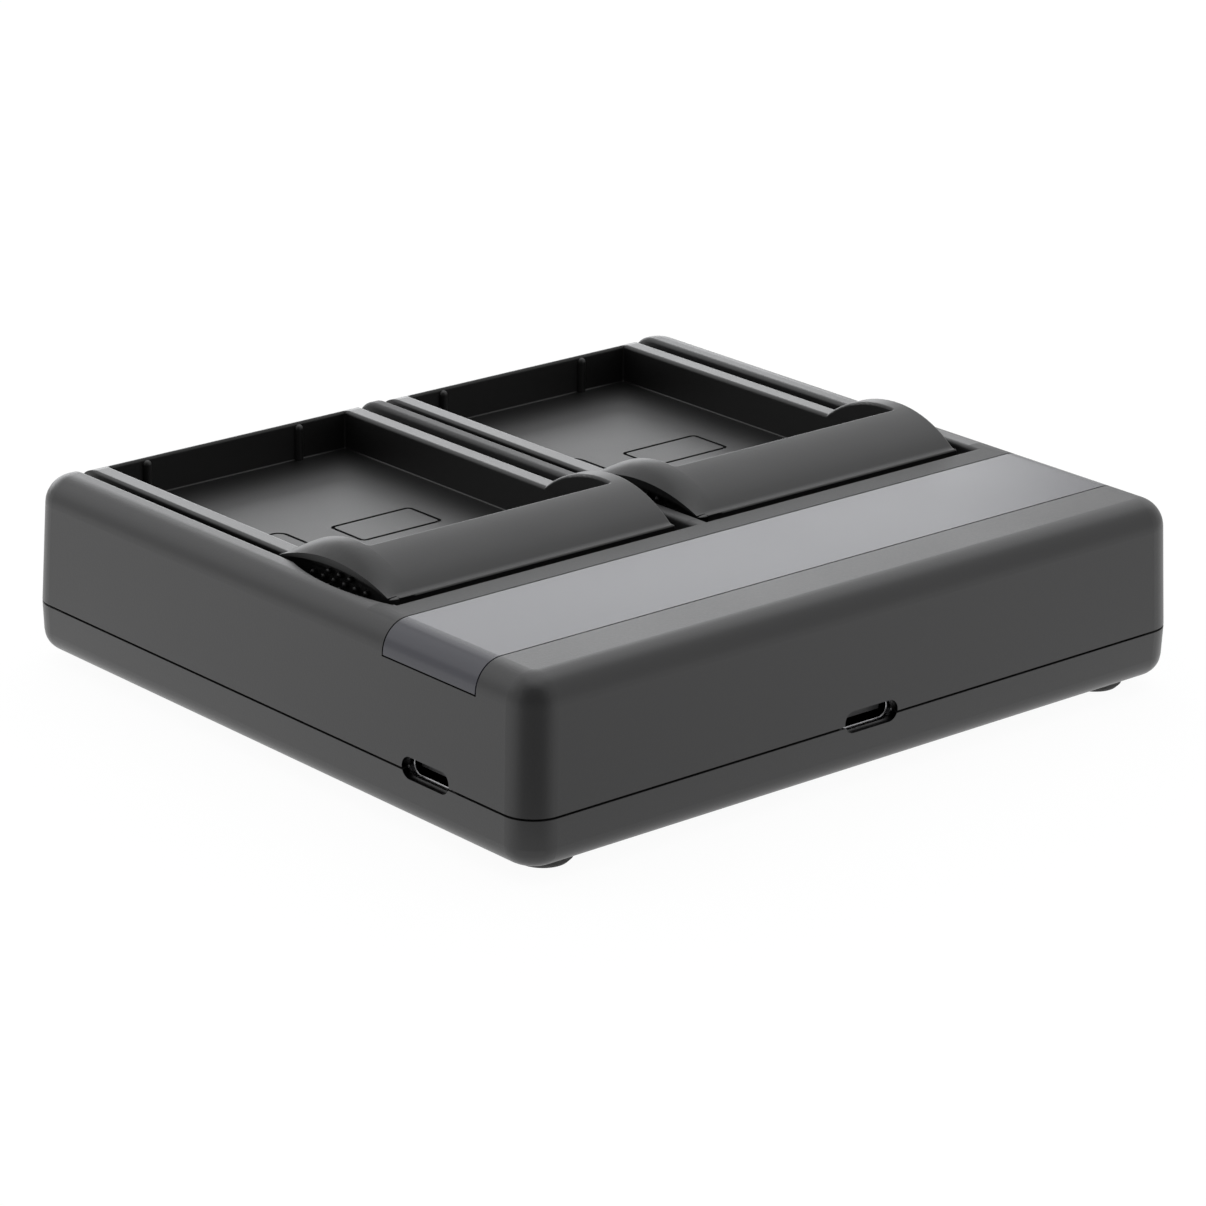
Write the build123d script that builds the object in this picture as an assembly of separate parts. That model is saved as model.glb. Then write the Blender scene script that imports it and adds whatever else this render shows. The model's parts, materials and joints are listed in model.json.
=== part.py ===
"""Two-bay camera battery charger: a low two-shell housing with a pair of lift-out battery plates.

The part stands on its feet, centred on the origin, with +Z up and the open ends of the bays towards -Y.
"""
import os
from math import asin, cos, hypot, sin, sqrt

from build123d import *

# Driving dimensions, in millimetres and degrees.

# Battery bays, which set the size of everything round them
bay_width = 38.9
bay_length = 54.7
bay_depth = 5.6  # housing's top down to the bay floor
bay_corner = 0.3
bay_floor_round = 0.2
bay_floor = 1.8
end_rib_spacing = 25.0
end_rib_shift = 1.0  # of the pair from the middle of the bay
end_rib_width = 1.3
end_rib_drop = 0.35  # rails down to the top of a rib
end_rib_root = 0.5  # how far a rib sinks into the floor

# Battery plates
rail_width = 2.8
rail_drop = 0.3  # rails below the housing's top
rail_round = 0.5
plate_height = 8.4  # underside up to the rails
plate_end = 3.8  # wall between the bay and the front of the housing
terminal_depth = 9.7  # from the wall that the battery's terminals face to the rear end of the plate
contact_wall = 1.8
under_rib = 1.2
plate_side_gap = 1.65
plate_rear_gap = 1.5
plate_rest_gap = 0.3

# Hump over the terminals
arch_radius = 17.2
arch_rise = 3.7  # above the housing's top
hump_ledge = 0.5  # behind the hump
ledge_drop = 0.05  # ledge below the housing's top
ledge_round = 0.25
flare_round = 1.1
hump_rim_round = 0.4
lip_overhang = 1.3
lip_start_gap = 0.1  # between the hump's rounded rim and the start of the lip
lip_round = 4.6
lip_edge = 0.9  # thickness at the crown
lip_tip = 0.15  # thickness at its two feet
stud_diameter = 0.8
stud_sides = 8
stud_height = 0.45
stud_pitch = 2.1
stud_row_pitch = 0.95
stud_rows = 4

# Marks on the bay floor, placed from the middle of the bay
mark_width = 0.5
mark_depth = 0.35
frame_mark = (13.4, 7.3)
frame_mark_at = (-3.9, 1.3)
frame_mark_corner = 0.9
corner_mark = (9.4, 12.0)
corner_mark_at = (13.2, 1.1)
corner_mark_corner = 1.6

# Housing
divider_width = 2.2
side_rim = 6.1  # from a well to the outer wall
rear_deck = 32.1  # from the wells to the rear wall
shell_height = 17.1  # parting line up to the top face
base_depth = 6.8  # parting line down to the underside
corner_radius = 4.4  # upright corners
corner_margin = 0.2  # least difference between an upright corner and the top edge
top_round = 3.8  # top edge
base_round = 3.0  # bottom edge
wall_draft = 2.2  # lean of the upper walls
base_draft = 1.7  # lean of the lower walls
shell_wall = 2.4
base_wall = 3.4
base_floor = 1.8
parting_gap = 0.3  # shadow line between the shells
tongue_height = 1.5  # rim of the lower shell that closes the shadow line
fit_gap = 0.15
well_floor = 1.6
well_edge = 0.6  # softened rim
scoop_radius = 46.7  # finger scoop in the side wall
scoop_width = 2.15
scoop_offset = 3.3  # behind the middle of the arch

# Feet and case screws
foot_diameter = 7.4
foot_height = 1.5
foot_edge = 0.5
foot_recess = 0.4
foot_side = 8.1  # from the side wall
foot_end = 7.0  # from the front or rear wall
screw_side = 20.0
screw_diameter = 2.6
screw_length = 9.0
screw_head = 4.8
screw_head_height = 1.6
screw_pocket = 1.9  # from the underside up to the seat of the head
boss_diameter = 6.0

# Accent strip
strip_width = 17.25
strip_rear = 10.55  # from the rear wall
strip_thickness = 1.2
strip_drop = 4.0  # how far its ends come down the side walls
strip_gap = 0.22

# Sockets
slot_width = 8.9
slot_height = 2.85
slot_rise = 0.4  # centre above the parting line
slot_skin = 1.0
socket_width = 8.94
socket_height = 3.2
socket_length = 7.3
socket_wall = 0.3
socket_gap = 0.25
tongue_plate = (6.7, 4.6, 0.7)
socket_plug = 1.4  # moulded block that closes the socket's back

# Terminals, placed from the middle of a plate and from the contact wall
terminal_count = 4
terminal_pitch = 3.6
terminal_u = -8.5
terminal_set_back = 5.6
blade_thickness = 0.6
blade_reach = 1.0
blade_nose = 0.9
blade_lift = 1.4  # bay floor up to the blade
blade_top_gap = 0.2
pad_length = 2.4
pad_thickness = 0.5
chamber_width = 34.4
chamber_roof = 1.2  # below the housing's top
cover_thickness = 1.2
contact_block_width = 17.0
contact_block_height = 5.0
terminal_block = (16.0, 4.4)
spring_width = 1.6
spring_thickness = 0.8
window_margin = 0.8

# Electronics, with X from the middle of the housing or of a plate and Y from the rear edge of the board
board_thickness = 1.2
board_side = 11.0  # from the left-hand wall
board_lead = 7.2  # ahead of the terminals
board_edge_gap = 0.5
led_x = -10.3
led_size = (3.0, 2.0, 0.8)
guide_diameter = 3.0
inductor_size = 10.2
inductor_height = 5.5
inductor_corner = 2.0
inductor_edge = 0.55
inductor_u = {"right": -8.0, "left": -2.0}
chip_size = 5.0
chip_height = 0.9
chip_edge = 0.15
chip_set_back = 6.3  # behind the terminals
input_chip_at = (12.5, -4.5)
capacitor_diameter = 6.3
capacitor_height = 7.7
capacitor_edge = 0.5
capacitor_at = ((0.5, -22.4), (0.5, -14.4))
input_capacitor_gap = 2.85  # from the screw boss beside it
input_capacitor_y = -5.0

# Places worked out from the dimensions above
plate_width = bay_width + 2 * rail_width
well_width = plate_width + 2 * plate_side_gap
plate_x = (divider_width + well_width) / 2
well_side = plate_x + well_width / 2
body_width = 2 * (well_side + side_rim)  # at the parting line
body_depth = plate_end + bay_length + terminal_depth + plate_rear_gap + rear_deck  # at the parting line
bay_end = plate_end - body_depth / 2
bay_middle = bay_end + bay_length / 2
contact_wall_y = bay_end + bay_length
plate_rear = contact_wall_y + terminal_depth
well_rear = plate_rear + plate_rear_gap
terminal_y = contact_wall_y + terminal_set_back
z_base = foot_height
z_part = z_base + base_depth
z_top = z_part + shell_height
z_rail = z_top - rail_drop
z_plate = z_rail - plate_height
z_well = z_plate - plate_rest_gap
z_under_well = z_well - well_floor
z_bay = z_top - bay_depth
z_roof = z_top - chamber_roof
top_edge = min(top_round, corner_radius - corner_margin)
blade_height = bay_depth - blade_lift - chamber_roof - blade_top_gap
z_crown = z_top + arch_rise
arch_z = z_crown - arch_radius
z_ledge = z_top - ledge_drop
arch_rear = plate_rear - ledge_round - hump_ledge
arch_y = arch_rear - sqrt(arch_radius ** 2 - (z_ledge - arch_z) ** 2)
arch_front = arch_y - sqrt(arch_radius ** 2 - (z_rail - arch_z) ** 2)
lip_inset = rail_width - hump_rim_round - lip_start_gap  # start of the lip inside the plate's side
lip_drop = lip_round - sqrt(lip_round ** 2 - (lip_overhang + lip_inset) ** 2)
foot_x = body_width / 2 - foot_side
foot_y = body_depth / 2 - foot_end
screw_x = body_width / 2 - screw_side
z_seat = z_base + screw_pocket
z_slot = z_part + slot_rise
strip_front = body_depth / 2 - strip_rear - strip_width
strip_middle = strip_front + strip_width / 2
z_board = z_slot - socket_height / 2
board_left = board_side - body_width / 2
board_right = body_width / 2 - base_wall - board_edge_gap
board_front = terminal_y - board_lead
board_rear = body_depth / 2 - base_wall - board_edge_gap
input_capacitor_x = screw_x - boss_diameter / 2 - input_capacitor_gap - capacitor_diameter / 2
far = 2 * body_width  # reach of a cutting block
past = 1.0  # how far a cut runs past the face it opens
near = 0.01  # tolerance when picking edges
plates = {"right": plate_x, "left": -plate_x}


def block(x, y, z):
    """Box between the given (low, high) pairs."""
    size = [pair[1] - pair[0] for pair in (x, y, z)]
    middle = [(pair[0] + pair[1]) / 2 for pair in (x, y, z)]
    return Pos(*middle) * Box(*size)


def rod(x, y, z, diameter):
    """Upright cylinder between two heights."""
    return Pos(x, y, (z[0] + z[1]) / 2) * Cylinder(diameter / 2, z[1] - z[0])


def drafted_block(width, depth, height, lean, corner):
    """Block on the XY plane whose flat walls lean inwards as they rise, with rounded upright corners."""
    form = extrude(Rectangle(width, depth), amount=height, taper=lean)
    return fillet(upright_edges(form), corner)


def upright_edges(solid):
    """Edges that run more up than along."""
    return solid.edges().filter_by(lambda edge: abs((edge @ 1 - edge @ 0).normalized().Z) > 0.7)


def upper_form(inset):
    """Outer form of the upper shell, moved inwards by inset, with its rounded corners and top edge."""
    form = drafted_block(body_width - 2 * inset, body_depth - 2 * inset, shell_height - inset, wall_draft,
                         corner_radius - inset)
    return Pos(0, 0, z_part) * fillet(form.faces().sort_by(Axis.Z)[-1].edges(), top_edge - inset)


def lower_form():
    """Outer form of the lower shell, made upside down, with its rounded corners and bottom edge."""
    form = drafted_block(body_width, body_depth, base_depth, base_draft, corner_radius)
    form = fillet(form.faces().sort_by(Axis.Z)[-1].edges(), base_round)
    return Pos(0, 0, z_part) * Rot(180, 0, 0) * form


def corners(x, y):
    """The four mirrored places of (x, y)."""
    return [(sx * x, sy * y) for sx in (1, -1) for sy in (1, -1)]


def socket_places():
    """Frames at the mouths of the two sockets, on the outer wall, with Z pointing out of the housing."""
    rear = Plane(origin=(0, body_depth / 2, z_slot), x_dir=(-1, 0, 0), z_dir=(0, 1, 0))
    side = Plane(origin=(body_width / 2, strip_middle, z_slot), x_dir=(0, 1, 0), z_dir=(1, 0, 0))
    return {"rear": rear, "side": side}


def socket_cut(place):
    """Slot through the skin, and the wider pocket behind it that takes the socket's shell."""
    slot = extrude(SlotOverall(slot_width, slot_height), amount=-2 * slot_skin)
    slot += extrude(SlotOverall(slot_width, slot_height), amount=slot_skin)
    pocket = SlotOverall(socket_width + 2 * socket_gap, socket_height + 2 * socket_gap)
    return place * (slot + extrude(Pos(0, 0, -slot_skin) * pocket, amount=-socket_length - slot_skin))


def terminal_places():
    """X offsets of the terminals from the middle of a plate."""
    return [terminal_u + (i - (terminal_count - 1) / 2) * terminal_pitch for i in range(terminal_count)]


def terminal_window(x_middle, z):
    """Opening that the row of terminals passes through."""
    half = terminal_pitch * (terminal_count - 1) / 2 + spring_width / 2 + window_margin
    x = x_middle + terminal_u
    y = (terminal_y - pad_length / 2 - window_margin / 2, terminal_y + pad_length / 2 + window_margin / 2)
    return block((x - half, x + half), y, z)


def strip_band(spread, top):
    """Everything outside the strip's inner face, between its two long edges and above its ends."""
    y = (strip_front - spread, strip_front + strip_width + spread)
    return block((-far, far), y, (z_top - strip_drop - spread, top)) - upper_form(strip_thickness)


def finger_scoop():
    """Shallow dish that lets a finger under the lip of the right-hand plate."""
    reach = scoop_radius / sqrt(2)
    middle = (well_side + scoop_width - reach, arch_y + scoop_offset, z_top + reach)
    side = block((well_side - near, far), (-far, well_rear), (z_well, z_top + past))
    return Pos(*middle) * Sphere(scoop_radius) & side


def on_well_rim(point):
    """True for a point on the flat top rim of a well."""
    inside = abs(point.X) < well_side + near and point.Y < well_rear + near
    return inside and abs(point.Z - z_top) < near


def upper_housing():
    """Upper shell: outer form, hollow, two wells open at the front, divider, strip seat and sockets."""
    hollow = upper_form(shell_wall)
    everywhere = (-far, far)
    shell = upper_form(0) - (hollow & block(everywhere, everywhere, (z_part - past, z_under_well)))
    shell -= hollow & block(everywhere, (well_rear + shell_wall, far), (z_part - past, z_top))
    shell -= block(everywhere, everywhere, (z_part - past, z_part + parting_gap / 2))
    for x in plates.values():
        half = well_width / 2
        shell -= block((x - half, x + half), (-far, well_rear), (z_well, z_top + past))
    rim = shell.edges().filter_by(lambda edge: on_well_rim(edge.center()))
    shell = fillet(rim, well_edge)
    shell -= finger_scoop()
    shell -= strip_band(strip_gap, z_top + past)
    for x, y in corners(screw_x, foot_y):
        ceiling = z_under_well if y < 0 else z_top - shell_wall
        shell += rod(x, y, (z_seat + base_floor, ceiling), boss_diameter)
        shell -= rod(x, y, (z_base, z_seat + screw_length), screw_diameter)
    for x in plates.values():
        shell -= terminal_window(x, (z_under_well - past, z_well + past))
    shell -= rod(led_x, strip_middle, (z_part, z_top - strip_thickness), guide_diameter + 2 * fit_gap)
    for place in socket_places().values():
        shell -= socket_cut(place)
    return shell


def lower_housing():
    """Lower shell: tray with a tongue that closes the parting line, screw wells and board posts."""
    inner = drafted_block(body_width - 2 * base_wall, body_depth - 2 * base_wall,
                          base_depth - base_floor + tongue_height, base_draft, corner_radius - shell_wall)
    inner = Pos(0, 0, z_part + tongue_height) * Rot(180, 0, 0) * inner
    outer = lower_form() - block((-far, far), (-far, far), (z_part - parting_gap / 2, z_top))
    rim = shell_wall + fit_gap
    tongue = RectangleRounded(body_width - 2 * rim, body_depth - 2 * rim, corner_radius - shell_wall)
    shell = outer + extrude(Pos(0, 0, z_part - parting_gap) * tongue, amount=parting_gap + tongue_height)
    shell -= inner
    for x, y in corners(screw_x, foot_y):
        shell += rod(x, y, (z_base + base_floor / 2, z_seat + base_floor), boss_diameter)
    for x, y in board_posts():
        shell += rod(x, y, (z_base + base_floor / 2, z_board - board_thickness), boss_diameter)
    for x, y in corners(screw_x, foot_y):
        shell -= rod(x, y, (z_base - past, z_seat), screw_head + 4 * fit_gap)
        shell -= rod(x, y, (z_base - past, z_top), screw_diameter + 2 * fit_gap)
    for x, y in corners(foot_x, foot_y):
        shell -= rod(x, y, (z_base - past, z_base + foot_recess), foot_diameter + 2 * fit_gap)
    for place in socket_places().values():
        shell -= socket_cut(place)
    return shell


def accent_strip():
    """Thin inlay across the top that bends over both top edges and ends on the side walls."""
    return upper_form(0) & strip_band(0, z_top + past)


def foot(x, y):
    """Round rubber foot pressed into its shallow recess."""
    pad = rod(x, y, (0, z_base + foot_recess), foot_diameter)
    return chamfer(pad.edges().sort_by(Axis.Z)[0], foot_edge)


def case_screws():
    """Screws from below, head in its well and shank in the boss of the upper shell."""
    screws = []
    for x, y in corners(screw_x, foot_y):
        head = rod(x, y, (z_seat - screw_head_height, z_seat), screw_head)
        shank = rod(x, y, (z_seat - screw_head_height / 2, z_seat + screw_length), screw_diameter)
        screws.append(head + shank)
    return Compound(children=screws)


def socket_shell(place):
    """Folded steel shell of a socket, open at the mouth."""
    outer = SlotOverall(socket_width, socket_height)
    inner = SlotOverall(socket_width - 2 * socket_wall, socket_height - 2 * socket_wall)
    return place * extrude(Pos(0, 0, -slot_skin) * (outer - inner), amount=-socket_length)


def socket_tongue(place):
    """Contact tongue on the block that closes the back of a socket."""
    width, length, thickness = tongue_plate
    back = -slot_skin - socket_length
    plug = SlotOverall(socket_width - 2 * socket_wall, socket_height - 2 * socket_wall)
    tongue = extrude(Pos(0, 0, back) * plug, amount=socket_plug)
    tongue += extrude(Pos(0, 0, back) * Rectangle(width, thickness), amount=socket_plug + length)
    return place * tongue


def board_posts():
    """Places of the posts that the circuit board rests on."""
    x = (board_left + boss_diameter, board_right - boss_diameter)
    y = (board_front + boss_diameter / 2, foot_y - 2 * boss_diameter)
    return [(x[0], y[0]), (x[1], y[0]), (x[0], y[1]), (x[1] - boss_diameter, y[1])]


def main_board():
    """Circuit board, cut round the screw bosses."""
    board = block((board_left, board_right), (board_front, board_rear), (z_board - board_thickness, z_board))
    board = fillet(board.edges().filter_by(Axis.Z), corner_radius - shell_wall)
    for x, y in corners(screw_x, foot_y):
        board -= rod(x, y, (z_base, z_top), boss_diameter + 4 * fit_gap)
    return board


def chip(x, y):
    """Square chip on the board, with its upper edges broken."""
    half = chip_size / 2
    body = block((x - half, x + half), (y - half, y + half), (z_board, z_board + chip_height))
    return chamfer(body.faces().sort_by(Axis.Z)[-1].edges(), chip_edge)


def inductor(x):
    """Moulded power inductor with rounded corners."""
    outline = Pos(x, strip_middle, z_board) * RectangleRounded(inductor_size, inductor_size, inductor_corner)
    body = extrude(outline, amount=inductor_height)
    return chamfer(body.faces().sort_by(Axis.Z)[-1].edges(), inductor_edge)


def filter_capacitors():
    """Upright can capacitors."""
    cans = []
    for x, y in capacitor_at + ((input_capacitor_x, input_capacitor_y),):
        can = rod(x, board_rear + y, (z_board, z_board + capacitor_height), capacitor_diameter)
        cans.append(chamfer(can.edges().sort_by(Axis.Z)[-1], capacitor_edge))
    return Compound(children=cans)


def status_led():
    """Lamp on the board, under the light guide."""
    x, y, z = led_size
    across = (led_x - x / 2, led_x + x / 2)
    return block(across, (strip_middle - y / 2, strip_middle + y / 2), (z_board, z_board + z))


def light_guide():
    """Clear rod that carries the lamp's light up to the back of the strip."""
    return rod(led_x, strip_middle, (z_board + led_size[2], z_top - strip_thickness), guide_diameter)


def spring_leg(x, z):
    """Upright leg of a spring contact."""
    y = (terminal_y - spring_thickness / 2, terminal_y + spring_thickness / 2)
    return block((x - spring_width / 2, x + spring_width / 2), y, z)


def base_terminal_block(x_middle):
    """Insulator on the board that holds the springs upright under a plate."""
    width, depth = terminal_block
    x = x_middle + terminal_u
    y = (terminal_y - depth / 2, terminal_y + depth / 2)
    body = block((x - width / 2, x + width / 2), y, (z_board, z_under_well - fit_gap))
    for u in terminal_places():
        body -= spring_leg(x_middle + u, (z_board - past, z_well))
    return body


def base_contacts(x_middle):
    """Spring contacts whose flat heads meet the pads under a plate."""
    springs = []
    for u in terminal_places():
        x = x_middle + u
        head = block((x - spring_width / 2, x + spring_width / 2),
                     (terminal_y - pad_length / 2, terminal_y + pad_length / 2),
                     (z_plate - pad_thickness, z_plate))
        springs.append(head + spring_leg(x, (z_board, z_plate - pad_thickness / 2)))
    return Compound(children=springs)


def bay(x, top):
    """Space that the battery lies in."""
    outline = Pos(x, bay_middle, z_bay) * RectangleRounded(bay_width, bay_length, bay_corner)
    return extrude(outline, amount=top - z_bay)


def over_bay(point, x):
    """True for a point over a bay or on its outline."""
    across = abs(point.X - x) < bay_width / 2 + near
    return across and bay_end - near < point.Y < contact_wall_y + near


def plate_moulding(x):
    """Plain plate before its hump: rails round a sunk bay, its front end trimmed to the housing's form."""
    half = plate_width / 2
    body = block((x - half, x + half), (-body_depth / 2, plate_rear), (z_plate, z_rail))
    top_edges = body.faces().sort_by(Axis.Z)[-1].edges()
    rear_edge = top_edges.filter_by(Axis.X).sort_by(Axis.Y)[-1]
    body = fillet(top_edges.filter_by(Axis.Y) + [rear_edge], rail_round)
    body -= bay(x, z_rail + past)
    floor_edges = body.edges().filter_by(lambda edge: abs(edge.center().Z - z_bay) < near)
    body = fillet(floor_edges, bay_floor_round)
    rim = body.edges().filter_by(lambda edge: over_bay(edge.center(), x))
    rim = rim.filter_by(lambda edge: abs(edge.center().Z - z_rail) < near)
    return fillet(rim, rail_round) & upper_form(rail_drop)


def hump_profile(drop, end):
    """Side profile of the hump in Y and Z: the arch, its crown lowered by drop, the flare that eases it into
    the ledge behind, and the ledge up to its end."""
    arch = ThreePointArc((arch_front, z_rail), (arch_y, z_crown - drop), (arch_rear, z_ledge))
    rest = Polyline((arch_rear, z_ledge), (end, z_ledge), (end, z_bay), (arch_front, z_bay),
                    (arch_front, z_rail))
    profile = make_face(Curve() + arch + rest)
    flare = profile.vertices().sort_by_distance((arch_rear, z_ledge, 0))[0]
    return fillet(flare, flare_round)


def hump(x):
    """Arched cover over the terminals, its plain end softened and its other end drawn out into a lip."""
    side = x - plate_width / 2
    lip_start = x + plate_width / 2 - lip_inset
    profile = Plane.YZ.offset(side) * hump_profile(0, plate_rear)
    arch = extrude(profile, amount=lip_start - side)
    plain_end = arch.faces().sort_by(Axis.X)[0].edges()
    arch = fillet(plain_end.filter_by(GeomType.CIRCLE), rail_round)
    ledge_edge = arch.faces().sort_by(Axis.Y)[-1].edges().sort_by(Axis.Z)[-1]
    arch = fillet(ledge_edge, ledge_round)
    arch -= bay(x, z_crown + past)
    above = arch.edges().filter_by(lambda edge: edge.bounding_box().min.Z > z_rail - near)
    rim = above.filter_by(lambda edge: over_bay(edge.center(), x))
    return fillet(rim, hump_rim_round) + lip(x, lip_start)


def lip(x, start):
    """Finger lip: the arch falls away in a rounding, between feet that stay, and overhangs the plate's side."""
    side = x + plate_width / 2
    end = side + lip_overhang
    sections = []
    for share in (0, 1 / 3, 2 / 3, 1):
        bend = share * asin((end - start) / lip_round)
        section = hump_profile(lip_round * (1 - cos(bend)), plate_rear + past)
        sections.append(Plane.YZ.offset(start + lip_round * sin(bend)) * section)
    form = loft(sections) & block((start, end), (-far, plate_rear), (z_bay, z_crown + past))
    underside = ThreePointArc((arch_front, z_rail - lip_tip), (arch_y, z_crown - lip_drop - lip_edge),
                              (arch_rear, z_ledge - lip_tip))
    above = Polyline((arch_rear, z_ledge - lip_tip), (arch_rear, z_crown), (arch_front, z_crown),
                     (arch_front, z_rail - lip_tip))
    kept = Plane.YZ.offset(side) * make_face(Curve() + underside + above)
    overhang = extrude(kept, amount=lip_overhang + past)
    beside = block((side, end + past), (-far, far), (z_bay - past, z_crown + past))
    return form - (beside - overhang)


def studs(x):
    """Staggered rows of grip studs on the plate's side, under the lip."""
    side = x + plate_width / 2
    peg = extrude(RegularPolygon(stud_diameter / 2, stud_sides), amount=stud_height)
    limit = arch_radius - lip_drop - lip_edge - stud_diameter
    columns = int(limit / stud_pitch)
    pegs = []
    for row in range(stud_rows):
        z = arch_z + limit - (row + 0.5) * stud_row_pitch
        for column in range(-columns, columns + 1):
            y = arch_y + (column + 0.5 * (row % 2)) * stud_pitch
            if hypot(y - arch_y, z - arch_z) < limit:
                pegs.append(Pos(side, y, z) * Rot(0, 90, 0) * peg)
    return pegs


def chamber(x):
    """Space under the hump for the terminals, open below."""
    half = chamber_width / 2
    y = (contact_wall_y + contact_wall, plate_rear - contact_wall)
    return block((x - half, x + half), y, (z_plate - past, z_roof))


def under_bay(x):
    """Space under the bay floor, open below, in three parts with a rib between them."""
    width = (bay_width - 2 * under_rib) / 3
    spaces = []
    for i in (-1, 0, 1):
        middle = x + i * (width + under_rib)
        across = (middle - width / 2, middle + width / 2)
        spaces.append(block(across, (bay_end, contact_wall_y), (z_plate - past, z_bay - bay_floor)))
    return spaces


def floor_marks(x):
    """Engraved outlines on the bay floor."""
    marks = []
    for size, at, corner in ((frame_mark, frame_mark_at, frame_mark_corner),
                             (corner_mark, corner_mark_at, corner_mark_corner)):
        outside = RectangleRounded(size[0], size[1], corner)
        inside = RectangleRounded(size[0] - 2 * mark_width, size[1] - 2 * mark_width, corner - mark_width)
        ring = Pos(x + at[0], bay_middle + at[1], z_bay - mark_depth) * (outside - inside)
        marks.append(extrude(ring, amount=2 * mark_depth))
    return marks


def end_ribs(x):
    """Two half-round ribs with domed tops on the front wall of a bay, which hold the battery off it."""
    ribs = []
    z_dome = z_rail - end_rib_drop - end_rib_width / 2
    for side in (-1, 1):
        middle = x + end_rib_shift + side * end_rib_spacing / 2
        rib = rod(middle, bay_end, (z_bay - end_rib_root, z_dome), end_rib_width)
        ribs.append(rib + Pos(middle, bay_end, z_dome) * Sphere(end_rib_width / 2))
    return ribs


def blade_slot(x):
    """Slit in the contact wall for one blade."""
    half = blade_thickness / 2 + fit_gap
    z = (z_bay + blade_lift - fit_gap, z_bay + blade_lift + blade_height + fit_gap)
    return block((x - half, x + half), (contact_wall_y - past, contact_wall_y + contact_wall + past), z)


def battery_plate(x):
    """Battery plate in one moulding: bay, rails, end wall, hump, lip, grip studs and terminal chamber."""
    body = plate_moulding(x) + hump(x)
    body -= chamber(x)
    for cut in under_bay(x) + floor_marks(x):
        body -= cut
    for addition in studs(x) + end_ribs(x):
        body += addition
    for u in terminal_places():
        body -= blade_slot(x + u)
    return body


def battery_contacts(x):
    """Blade terminals: a nose in the bay, a tail down the chamber and a flat pad under the plate."""
    blades = []
    z_low = z_bay + blade_lift
    for u in terminal_places():
        middle = x + u
        across = (middle - blade_thickness / 2, middle + blade_thickness / 2)
        nose = block(across, (contact_wall_y - blade_reach, terminal_y), (z_low, z_low + blade_height))
        nose = fillet(nose.edges().filter_by(Axis.X).group_by(Axis.Y)[0], blade_nose)
        stem = block(across, (terminal_y - pad_length / 2, terminal_y), (z_plate, z_low + blade_height / 2))
        pad = block((middle - spring_width / 2, middle + spring_width / 2),
                    (terminal_y - pad_length / 2, terminal_y + pad_length / 2),
                    (z_plate, z_plate + pad_thickness))
        blades.append(nose + stem + pad)
    return Compound(children=blades)


def terminal_cover(x):
    """Cover that closes the chamber from below, with a window for the pads."""
    half = chamber_width / 2 - fit_gap
    y = (contact_wall_y + contact_wall + fit_gap, plate_rear - contact_wall - fit_gap)
    cover = block((x - half, x + half), y, (z_plate, z_plate + cover_thickness))
    return cover - terminal_window(x, (z_plate - past, z_top))


def contact_block(x):
    """Insulator in the chamber that clamps the blades."""
    half = contact_block_width / 2
    middle = x + terminal_u
    y = (contact_wall_y + contact_wall, plate_rear - contact_wall)
    body = block((middle - half, middle + half), y, (z_roof - contact_block_height, z_roof))
    for blade in battery_contacts(x).solids():
        body -= blade
    return body


def save(name, shape):
    """Write one named piece."""
    export_step(shape, f"parts/{name}.step")


def main():
    """Build every piece and write it under its own name."""
    os.makedirs("parts", exist_ok=True)
    save("upper_housing", upper_housing())
    save("lower_housing", lower_housing())
    save("accent_strip", accent_strip())
    for end, y in (("front", -foot_y), ("rear", foot_y)):
        for side, x in (("right", foot_x), ("left", -foot_x)):
            save(f"{end}_{side}_foot", foot(x, y))
    save("case_screws", case_screws())
    save("main_board", main_board())
    for name, place in socket_places().items():
        save(f"{name}_socket_shell", socket_shell(place))
        save(f"{name}_socket_tongue", socket_tongue(place))
    save("status_led", status_led())
    save("light_guide", light_guide())
    save("input_chip", chip(input_chip_at[0], board_rear + input_chip_at[1]))
    save("filter_capacitors", filter_capacitors())
    for side, x in plates.items():
        coil_x = x + inductor_u[side]
        save(f"{side}_inductor", inductor(coil_x))
        save(f"{side}_charge_chip", chip(coil_x, terminal_y + chip_set_back))
        save(f"{side}_terminal_block", base_terminal_block(x))
        save(f"{side}_base_contacts", base_contacts(x))
        save(f"{side}_battery_plate", battery_plate(x))
        save(f"{side}_terminal_cover", terminal_cover(x))
        save(f"{side}_contact_block", contact_block(x))
        save(f"{side}_battery_contacts", battery_contacts(x))


main()
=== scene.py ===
"""Finishes for a two-bay camera battery charger: moulded plastic, rubber, plated metal and laminate on its
solids, the fine pieces that the solids leave plain, and a pale studio with the camera at the photo's view."""
import json
from math import cos, hypot, pi, radians, sin

import bpy
import numpy as np
from mathutils import Matrix, Vector


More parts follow.
